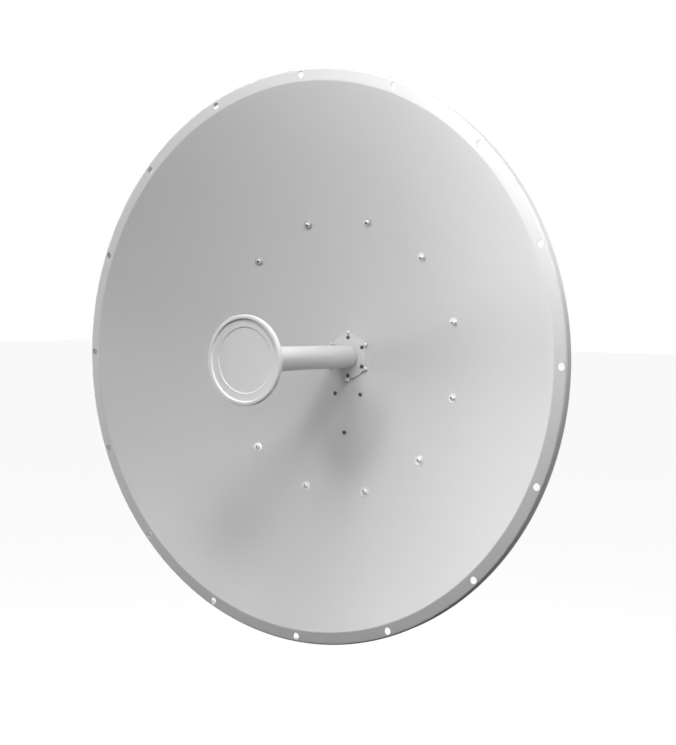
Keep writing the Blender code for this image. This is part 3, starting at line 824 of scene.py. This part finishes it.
class DISH_OT_ring_screws(bpy.types.Operator):
    """Button screws with wide washers round the bowl, and their nuts behind."""

    bl_idname = "dish.ring_screws"
    bl_label = "Ring screws"

    def execute(self, context):
        size = context.scene.dish_reflector
        shank, wide, narrow, socket, height = mm(3, 1.3, 1.1, 4, 3.1)
        base = wide + narrow
        back = -(size.sheet + 2.5 * MM + 1.4 * MM)
        whole = together(
            washer(9 * MM, shank, wide),
            lifted(washer(5.6 * MM, shank, narrow), wide),
            button_screw(5.25 * MM, height, socket, base),
            lifted(washer(7 * MM, shank, 1.2 * MM), back - 1.2 * MM),
            lifted(hex_block(*mm(10, 5, 2.7)), back - 6.2 * MM),
            lifted(placed(thread(shank, 0, 5 * MM, MM, 0.6 * MM), UPSIDE_DOWN), back - 3.5 * MM),
        )
        # a dark cup in each socket is painted shade, standing in for the shade deep in the hex recess
        shade_cup = socket_shade_cup(socket, height, base)
        shade_cups = []
        for i, angle in enumerate(between_turns(size.ring_screws)):
            place = dish_frame() @ along(*on_bowl(angle, size.ring_screw_circle))
            place = place @ Matrix.Rotation(i * 2.4, 4, "Z")
            show(f"ring_screw_{i + 1:02d}", placed(whole, place), "stainless")
            shade_cups.append(placed(shade_cup, place))
        # the socket cups, in the dark finish, are painted shade in the recesses
        show("ring_screw_sockets", together(*shade_cups), "black")
        return {"FINISHED"}


# The feed

HUB_ANGLES = between_turns(6)


def plate_back():
    """Height of the base plate's back, where its screws just clear the bowl."""
    return bowl_z(46 * MM) + 0.3 * MM


class DISH_OT_feed(bpy.types.Operator):
    """Feed tube, base plate, cone and cap, with the small screws at the base."""

    bl_idname = "dish.feed"
    bl_label = "Feed"

    def execute(self, context):
        for make in (self.tube, self.base_plate, self.cone, self.cap, self.screws):
            make(context.scene.dish_feed)
        return {"FINISHED"}

    def tube(self, size):
        front = size.cap_face - size.cap_thick - size.cone_depth - 0.6 * MM
        inner, back, edge = size.tube - 2 * MM, -20 * MM, 0.4 * MM
        corners = [(size.tube, back, edge), (size.tube, front, edge), (inner, front), (inner, back)]
        show("feed_tube", in_dish(turned(corners, 128, closed=True)), "paint")

    def base_plate(self, size):
        """The radius of the outline is that of the circle or, where less, of the flat."""
        corner = math.acos(size.plate_flat / size.plate)
        marks = [corner, math.pi - corner, math.pi + corner, TURN - corner]
        angles = np.unique(np.concatenate([turns(160), marks]))
        outline = np.minimum(size.plate, size.plate_flat / np.maximum(np.abs(np.cos(angles)), 1e-6))
        back, edge = plate_back(), 0.5 * MM
        front = back + size.plate_thick
        bore = np.full_like(outline, size.tube + 0.25 * MM)
        turn = np.linspace(0, QUARTER, 4)
        radii = [bore, outline, *(outline - edge + edge * math.cos(a) for a in turn), bore + edge, bore]
        heights = [back, back, *(front - edge + edge * np.sin(turn)), front, front - edge]
        show("feed_base_plate", in_dish(around(radii, heights, angles, closed=True)), "paint")

    def cone(self, size):
        """Cone behind the cap: from neck to disc its radius grows as the height to the power 1.6."""
        top = size.cap_face - size.cap_thick - 0.3 * MM
        low = top - size.cone_depth
        neck, disc = size.tube + 4 * MM, size.cap - 8 * MM
        share = np.linspace(0, 1, 16)
        flare = neck + (disc - neck) * share**1.6
        rise = low + 8 * MM + (size.cone_depth - 12 * MM) * share
        radii = [0, neck - 0.6 * MM, neck, *flare, disc, disc - 0.5 * MM, 0]
        heights = [low, low, low + 0.6 * MM, *rise, top - 0.5 * MM, top, top]
        show("subreflector", in_dish(around(radii, heights, turns(96))), "plastic")

    def cap(self, size):
        face, rim = size.cap_face, size.cap - size.cap_rim
        back, tray, floor = face - size.cap_thick, face - 4 * MM, face - 5.5 * MM
        corners = [
            (0, back),
            (size.cap, back, 3.5 * MM),
            (size.cap, face, 1.4 * MM),
            (rim, face, 1.2 * MM),
            (rim - MM, tray, 0.8 * MM),
            (size.cap_step, tray, 0.8 * MM),
            (size.cap_step - 0.6 * MM, floor, 0.5 * MM),
            (0, floor),
        ]
        show("feed_cap", in_dish(turned(corners, 192, steps=6)), "plastic")

    def screws(self, size):
        top = plate_back() + size.plate_thick
        sleeve = rod(2.2 * MM, -2 * MM - size.plate_thick, 0, 24)
        light = together(button_screw(*mm(4.3, 3.3, 2.5, 0.1), 36), sleeve)
        dark = pan_screw(*mm(3.7, 2.6))
        for name, screw, circle, finish in (
            ("hub_screws", light, size.hub_screw_circle, "stainless"),
            ("plate_screws", dark, size.plate_screw_circle, "black"),
        ):
            places = [
                Matrix.Translation(polar(circle, angle, top)) @ Matrix.Rotation(i * 1.3, 4, "Z")
                for i, angle in enumerate(HUB_ANGLES)
            ]
            show(name, in_dish(*(placed(screw, place) for place in places)), finish)


class DISH_OT_feed_back(bpy.types.Operator):
    """Hub, housing and connectors of the feed behind the dish."""

    bl_idname = "dish.feed_back"
    bl_label = "Feed back end"

    def execute(self, context):
        size = context.scene.dish_feed

        def behind(screw, starts):
            return in_dish(*(placed(screw, along(start, (0, 0, -1))) for start in starts))

        bore = size.tube + 0.3 * MM
        neck, disc, front, back, end = mm(34, 55, -2.4, -6.4, -24)
        hub = [
            (bore, front),
            (disc, front, 0.6 * MM),
            (disc, back, MM),
            (neck, back, 2.5 * MM),
            (neck, end, 0.8 * MM),
            (bore, end),
        ]
        show("feed_hub", in_dish(turned(hub, 128, closed=True)), "casting")
        starts = [polar(size.hub_screw_circle, angle, back) for angle in HUB_ANGLES]
        show("hub_nuts", behind(small_nut(5 * MM), starts), "stainless")

        top, half, deep = mm(-24.3, 42, 40)
        lid = soft_box(half, 8 * MM, top - 3 * MM, top, 0.8 * MM)
        box = soft_box(half - 0.5 * MM, 7.5 * MM, top - deep, top - 3.2 * MM, 2 * MM)
        show("feed_housing", in_dish(lid, box), "casting")
        screw = button_screw(*mm(2.9, 1.9, 2.2, 0.2), 30)
        inset = half - 8 * MM
        starts = [(x * inset, y * inset, top - deep) for x, y in CORNERS]
        show("housing_screws", behind(screw, starts), "stainless")

        collar = turned(mm((0, 3.5), (6.5, 3.5), (6.5, 8, 0.4), (0, 8)), 48)
        connector = together(hex_block(*mm(16, 4)), collar, coax_barrel())
        for side, sign in SIDES:
            place = along((sign * 20 * MM, -half - 0.3 * MM, top - deep / 2), (0, -1, 0))
            show(f"rf_connector_{side}", placed(connector, dish_frame() @ place), "stainless")
        return {"FINISHED"}


def coax_barrel():
    """Threaded barrel from z 8 to 18 mm, bored out, with its centre contact."""
    sides = 48
    points, cells = thread(*mm(8, 7.5, 18, 1.06, 0.5), sides)
    mouth = turned(mm((7.5, 18), (5.6, 18, 0.2), (5.6, 11), (0, 11)), sides, steps=2)
    pin = turned(mm((0, 11), (1.6, 11), (1.6, 16, 0.5), (0, 16.5)), 24)
    return together((points, cells[: -2 * sides]), mouth, pin)


def soft_box(half, corner, low, high, edge):
    """Square box with round upright corners and round edges.

    Each level is a rounded square drawn in by d, with d and the height on a
    quarter circle near each end.
    """
    turn = np.linspace(0, QUARTER, 5)
    inset = np.concatenate([edge * (1 - np.sin(turn)), edge * (1 - np.cos(turn))])
    level = np.concatenate([low + edge * (1 - np.cos(turn)), high - edge * (1 - np.sin(turn))])
    rings = []
    for draw, z in zip(inset, level):
        a, r = half - draw, corner - draw
        loop = rounded([(x * a, y * a, r) for x, y in CORNERS], steps=8)
        rings.append(np.column_stack([loop, np.full(len(loop), z)]))
    count = len(loop)
    rings = [np.tile((0.0, 0.0, low), (count, 1)), *rings, np.tile((0.0, 0.0, high), (count, 1))]
    return np.concatenate(rings), grid(len(rings), count)


class DISH_OT_radio_bracket(bpy.types.Operator):
    """Channel behind the dish on three small dark screws with spacers."""

    bl_idname = "dish.radio_bracket"
    bl_label = "Radio bracket"

    def execute(self, context):
        web, back, half, sheet, spacer, bore = mm(-12, -34, 38, 2.5, 5, 2)
        section = Section([(-half, back), (-half, web), (half, web), (half, back)], 4.5 * MM)
        outline = strip(section, *mm(64, 165, 6))
        upright = Matrix.Rotation(QUARTER, 4, "X")
        mesh = sheet_metal(section, outline, -sheet, 0, dish_frame() @ upright)
        show("radio_bracket", mesh, "galvanised", bevel=0.4 * MM)
        head = pan_screw(*mm(3.9, 2.8))
        nut = placed(small_nut(*mm(4, 0.1)), along((0, 0, web - sheet), (0, 0, -1)))
        for i, (x, y) in enumerate(mm((-29, -73), (29, -73), (0, -147.5)), 1):
            top = bowl_z(math.hypot(x, y)) + 0.25 * MM
            under = top - context.scene.dish_reflector.sheet - 1.2 * MM
            corners = [(spacer, web), (spacer, under, 0.3 * MM), (bore, under), (bore, web)]
            whole = together(lifted(head, top), turned(corners, 36, closed=True), nut)
            place = dish_frame() @ Matrix.Translation((x, y, 0))
            show(f"radio_bracket_screw_{i}", placed(whole, place), "black")
        return {"FINISHED"}


# The mount

# Side bolts of the pole bracket, as (y, z)
PIVOT, LOCK = mm((-60, 80), (-60, -75))


class DISH_OT_backing_ring(bpy.types.Operator):
    """Folded ring between the dish and its brackets."""

    bl_idname = "dish.backing_ring"
    bl_label = "Backing ring"

    def execute(self, context):
        size = context.scene.dish_reflector
        clear = size.sheet / math.cos(math.atan(2 * size.ring_screw_circle / size.four_f)) + 0.6 * MM
        sheet, outer, wall, inner, back = mm(2.5, 281, 249, 205, -14)
        corners = [
            (outer, bowl_z(outer) - clear),
            (wall, bowl_z(wall) - clear),
            (wall, back + sheet),
            (inner, back + sheet),
        ]
        section = Section(corners, mm(3, 6))
        marks = np.unique([0, section.end, *section.bend_marks(7), *np.linspace(0, section.end, 24)])
        profile = np.concatenate([section.place(marks, 0), section.place(marks, sheet)[::-1]])
        show("backing_ring", in_dish(around(*profile.T, turns(240), closed=True)), "paint", sharp=50)
        return {"FINISHED"}


class DISH_OT_side_brackets(bpy.types.Operator):
    """Angle plates with a curved slot, and the bolts that hold them to the ring."""

    bl_idname = "dish.side_brackets"
    bl_label = "Side brackets"

    def execute(self, context):
        low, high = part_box("side_bracket_right")
        inner, outer, front, rear, half = low.x, high.x, low.y, high.y, high.z
        sheet, shoulder, waist = mm(3, 118, -85)
        section = Section([(outer, front), (inner, front), (inner, rear)], 5 * MM)

        def on_web(y):
            return section.s(1, y - front)

        edge = [
            (0, half, 10 * MM),
            (on_web(front + 25 * MM), half, 12 * MM),
            (on_web(waist), shoulder, 20 * MM),
            (on_web(rear), shoulder, 10 * MM),
        ]
        outline = rounded([(s, -h, r) for s, h, r in edge] + edge[::-1])
        slot = curved_slot(PIVOT, PIVOT[1] - LOCK[1], math.radians(12), 5.5 * MM)
        slot = np.column_stack([on_web(slot[:, 0]), slot[:, 1]])
        for side, sign in SIDES:
            mesh = sheet_metal(section, outline, -sheet, 0, Matrix.Diagonal((sign, 1, 1, 1)), [slot])
            show(f"side_bracket_{side}", mesh, "galvanised", bevel=0.4 * MM)
        bolt = hex_bolt("M8", sheet + 3.2 * MM, 4 * MM)
        bolts = []
        for sx in (-1, 1):
            for sz in (-1, 1):
                for x, z in mm((85, 205), (106, 197)):
                    bolts.append(placed(bolt, along((sx * x, front + sheet, sz * z), (0, -1, 0))))
        show("bracket_bolts", together(*bolts), "zinc")
        return {"FINISHED"}


def curved_slot(pivot, radius, sweep, half_width):
    """Slot round a pivot: two arcs about it, with a half circle at each end."""
    first, last = -QUARTER - sweep, -QUARTER + sweep
    out = arc(pivot, radius + half_width, first, last, 16)
    back = arc(pivot, radius - half_width, last, first, 16)
    ends = []
    for turn, start in ((last, last), (first, first + math.pi)):
        centre = (pivot[0] + radius * math.cos(turn), pivot[1] + radius * math.sin(turn))
        ends.append(arc(centre, half_width, start, start + math.pi, 8)[1:-1])
    return np.concatenate([out, ends[0], back, ends[1]])


class DISH_OT_pole_bracket(bpy.types.Operator):
    """Channel whose rear face is the mounting face, with its side bolts."""

    bl_idname = "dish.pole_bracket"
    bl_label = "Pole bracket"

    def execute(self, context):
        low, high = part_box("pole_bracket")
        sheet = 4 * MM
        section = Section([(high.x, low.y), (high.x, 0), (low.x, 0), (low.x, low.y)], 6 * MM)
        mesh = sheet_metal(section, strip(section, low.z, high.z, 8 * MM), 0, sheet, Matrix.Identity(4))
        show("pole_bracket", mesh, "galvanised", bevel=0.5 * MM)
        bolt = hex_bolt("M10", sheet + 3.6 * MM, 2 * MM)
        for job, place in (("pivot", PIVOT), ("lock", LOCK)):
            for side, sign in SIDES:
                start = (sign * (high.x + 3.45 * MM), *place)
                show(f"{job}_bolt_{side}", placed(bolt, along(start, (-sign, 0, 0))), "zinc")
        return {"FINISHED"}


class DISH_OT_adjuster(bpy.types.Operator):
    """Tie bars, trunnion and the eye rod that sets the elevation."""

    bl_idname = "dish.adjuster"
    bl_label = "Adjuster"

    def execute(self, context):
        wall, reach, bar_y, bar_z = mm(75.3, 72, -140, 150)
        across = (1, 0, 0)
        bar = rod(9 * MM, -reach, reach, 64, 0.8 * MM)
        end = together(rod_nut(), thread(*mm(4.9, 1, 12.5, 1.5, 0.8)))
        for level, up in LEVELS:
            z = up * bar_z
            ends = [placed(end, along((sign * wall, bar_y, z), (sign, 0, 0))) for sign in (-1, 1)]
            show(f"tie_bar_{level}", together(placed(bar, along((0, bar_y, z), across)), *ends), "zinc")

        start, middle = Vector((0, bar_y, -bar_z)), Vector(mm(0, -50, -100))
        span, pin = (middle - start).length, 11 * MM
        eye = turned(mm((9.6, -6), (15, -6, 1.5), (15, 6, 1.5), (9.6, 6)), 64, closed=True)
        clear = pin + 0.1 * MM
        screw = together(
            thread(5 * MM, 13 * MM, span + 30 * MM, 1.5 * MM, 0.9 * MM),
            lifted(rod_nut(), span + clear),
            lifted(placed(rod_nut(), UPSIDE_DOWN), span - clear),
        )
        whole = together(placed(eye, along(start, across)), placed(screw, along(start, middle - start)))
        show("elevation_rod", whole, "zinc")

        cheek, tip = mm(67.7, 71.6)
        half = [(0, tip), (6 * MM, tip, 0.5 * MM), (6 * MM, cheek), (pin, cheek, 0.8 * MM)]
        other = [(c[0], -c[1], *c[2:]) for c in reversed(half)]
        show("rod_trunnion", placed(turned(half + other, 64), along(middle, across)), "galvanised")
        return {"FINISHED"}


class DISH_OT_clamp(bpy.types.Operator):
    """V jaws and long bolts that grip the pole."""

    bl_idname = "dish.clamp"
    bl_label = "Pole clamp"

    def execute(self, context):
        slope = math.radians(35)
        apex, valley, half, pole_radius, sheet, high, bolt_x, bolt_z = mm(5.4, 38, 64, 30, 4, 18, 50, 75)
        ear = apex + valley * math.tan(slope)
        pole_y = apex + pole_radius / math.cos(slope)
        corners = [(half, ear), (valley, ear), (0, apex), (-valley, ear), (-half, ear)]
        section = Section(corners, mm(7, 3, 7))
        outline = strip(section, -high, high, 7 * MM)
        mirror = Matrix.Translation((0, 2 * pole_y, 0)) @ Matrix.Diagonal((1, -1, 1, 1))
        radius, inside, end, washer_and_nut, cut = mm(5, -4.1, 84, 10, 22)
        rear = 2 * pole_y - ear + sheet + 0.1 * MM
        grip = rear - inside
        bolt = together(
            hex_bolt("M10", grip, end - rear - washer_and_nut),
            thread(radius, grip - cut, grip + MM, 1.5 * MM, 0.9 * MM),
            rod(radius, 0, grip - cut, 48),
        )
        for level, up in LEVELS:
            lift = Matrix.Translation((0, 0, up * bolt_z))
            for where, place in (("front", lift), ("back", lift @ mirror)):
                mesh = sheet_metal(section, outline, 0, sheet, place)
                show(f"clamp_jaw_{where}_{level}", mesh, "galvanised", bevel=0.5 * MM)
        for level, up in LEVELS:
            for side, sign in SIDES:
                place = along((sign * bolt_x, inside, up * bolt_z), (0, 1, 0))
                show(f"clamp_bolt_{level}_{side}", placed(bolt, place), "zinc")
        return {"FINISHED"}


# Stage

CAMERA_AT = (1.2885, -2.1809, 0.0729)
CAMERA_TURN = math.radians(33.434)
CAMERA_TILT = math.radians(-2.526)
CAMERA_ROLL = math.radians(0.5625)
CAMERA_LENS = 58.805
FLOOR_Z = -1.6
FLOOR_REACH = 60.0

# Each light: name, place, size in metres, and power in watts
LIGHTS = (
    ("top_light", (0, -0.55, 2.2), 0.8, 25.5),
    ("left_light", (-2.2, -0.55, -0.1), 0.8, 10.8),
    ("left_wide_light", (-2.2, -0.7, 0.1), 1.8, 22.0),
    ("front_light", (-0.12, -3.2, 1.25), 0.5, 14.5),
    ("high_front_light", (0, -2.9, 1.9), 0.6, 9.0),
    ("near_corner_light", (0.43, -1.0, 0.74), 0.35, 4.4),
    ("near_right_light", (0.65, -0.75, 0.38), 0.3, 1.2),
    ("side_left_light", (-2.3, 0.6, 0.1), 1.3, 6.0),
    ("side_right_light", (2.3, 0.6, 0.1), 1.3, 13.0),
    ("back_left_light", (-1.5, 2.3, 1.1), 1.3, 26.0),
    ("back_right_light", (1.5, 2.3, 1.1), 1.3, 15.0),
)
LIGHTS_AIM = (0.05, -0.33, 0.05)

# What shiny surfaces see of the studio: dark grey underneath, white overhead
SKY = ((0.3, 0.24), (0.7, 1.0))


class DISH_OT_stage(bpy.types.Operator):
    """Camera at the photograph's view, floor, backdrop and lights."""

    bl_idname = "dish.stage"
    bl_label = "Stage"

    def execute(self, context):
        self.camera(context.scene)
        self.floor(context.scene)
        self.world(context.scene)
        for light in LIGHTS:
            self.light(context.scene, *light)
        view = context.scene.view_settings
        view.view_transform, view.look, view.exposure, view.gamma = "Standard", "None", 0, 1
        return {"FINISHED"}

    def add(self, scene, name, data):
        made = bpy.data.objects.new(name, data)
        scene.collection.objects.link(made)
        return made

    def camera(self, scene):
        data = bpy.data.cameras.new("camera")
        data.lens, data.sensor_width, data.clip_end = CAMERA_LENS, 36, 200
        scene.camera = self.add(scene, "camera", data)
        turn = Matrix.Rotation(CAMERA_TURN, 4, "Z") @ Matrix.Rotation(QUARTER + CAMERA_TILT, 4, "X")
        place = Matrix.Translation(CAMERA_AT) @ turn @ Matrix.Rotation(CAMERA_ROLL, 4, "Z")
        scene.camera.matrix_world = place

    def floor(self, scene):
        mesh = bpy.data.meshes.new("floor")
        corners = [(x * FLOOR_REACH, y * FLOOR_REACH, FLOOR_Z) for x, y in CORNERS]
        mesh.from_pydata(corners, [], [(0, 1, 2, 3)])
        floor = self.add(scene, "floor", mesh)
        made = Finish("pale_floor", 0.9)
        made.set(Base_Color=(0.85, 0.85, 0.85, 1), Specular_IOR_Level=0.0)
        made.set(Emission_Color=WHITE, Emission_Strength=settings("dish_studio").floor_glow)
        mesh.materials.append(made.material)
        floor.visible_diffuse = False
        floor.visible_glossy = False

    def world(self, scene):
        """Even light all round. The camera and shiny surfaces see brightnesses of their own instead."""
        studio = settings("dish_studio")
        world = bpy.data.worlds.new("studio")
        world.use_nodes = True
        world.node_tree.nodes.clear()
        made = Nodes(world.node_tree)
        place = made.node("ShaderNodeTexCoord", output="Generated")
        rise = made.node("ShaderNodeSeparateXYZ", inputs={0: place}, output="Z")
        rise = made.node("ShaderNodeMapRange", inputs={"Value": rise, "From Min": -1})
        sky = made.node("ShaderNodeValToRGB", {"stops": SKY}, {"Fac": rise})
        light = made.node("ShaderNodeBackground", inputs={"Color": WHITE, "Strength": studio.ambient})
        for kind, tone, level in (("Glossy", sky, studio.reflected), ("Camera", WHITE, studio.backdrop)):
            seen = made.node("ShaderNodeLightPath", output=f"Is {kind} Ray")
            other = made.node("ShaderNodeBackground", inputs={"Color": tone, "Strength": level})
            light = made.node("ShaderNodeMixShader", inputs={0: seen, 1: light, 2: other})
        out = world.node_tree.nodes.new("ShaderNodeOutputWorld")
        made.feed(out.inputs[0], light)
        scene.world = world

    def light(self, scene, name, at, size, power):
        data = bpy.data.lights.new(name, "AREA")
        data.shape, data.size, data.energy = "SQUARE", size, power
        light = self.add(scene, name, data)
        light.location = at
        light.rotation_euler = (Vector(LIGHTS_AIM) - Vector(at)).to_track_quat("-Z", "Y").to_euler()
        light.visible_camera = False


OPERATORS = (
    DISH_OT_reflector,
    DISH_OT_ring_screws,
    DISH_OT_feed,
    DISH_OT_feed_back,
    DISH_OT_radio_bracket,
    DISH_OT_backing_ring,
    DISH_OT_side_brackets,
    DISH_OT_pole_bracket,
    DISH_OT_adjuster,
    DISH_OT_clamp,
    DISH_OT_stage,
)
GROUPS = {
    "dish_reflector": DishReflectorSizes,
    "dish_feed": DishFeedSizes,
    "dish_finishes": DishFinishes,
    "dish_studio": DishStudio,
}


class VIEW3D_PT_dish(bpy.types.Panel):
    """Lists the sizes, the colours and the pieces."""

    bl_label = "Microwave Dish"
    bl_category = "Dish"
    bl_space_type = "VIEW_3D"
    bl_region_type = "UI"

    def draw(self, context):
        for name, group in GROUPS.items():
            box = self.layout.box()
            box.label(text=group.__doc__)
            for key in group.__annotations__:
                box.prop(getattr(context.scene, name), key)
        for operator in OPERATORS:
            self.layout.operator(operator.bl_idname)


def register():
    for kind in (*GROUPS.values(), *OPERATORS, VIEW3D_PT_dish):
        bpy.utils.register_class(kind)
    for name, kind in GROUPS.items():
        setattr(bpy.types.Scene, name, bpy.props.PointerProperty(type=kind))


def unregister():
    for name in GROUPS:
        delattr(bpy.types.Scene, name)
    for kind in (VIEW3D_PT_dish, *OPERATORS[::-1], *reversed(GROUPS.values())):
        bpy.utils.unregister_class(kind)


def main():
    register()
    for operator in OPERATORS:
        getattr(bpy.ops.dish, operator.bl_idname.split(".")[1])()


if __name__ == "__main__":
    main()
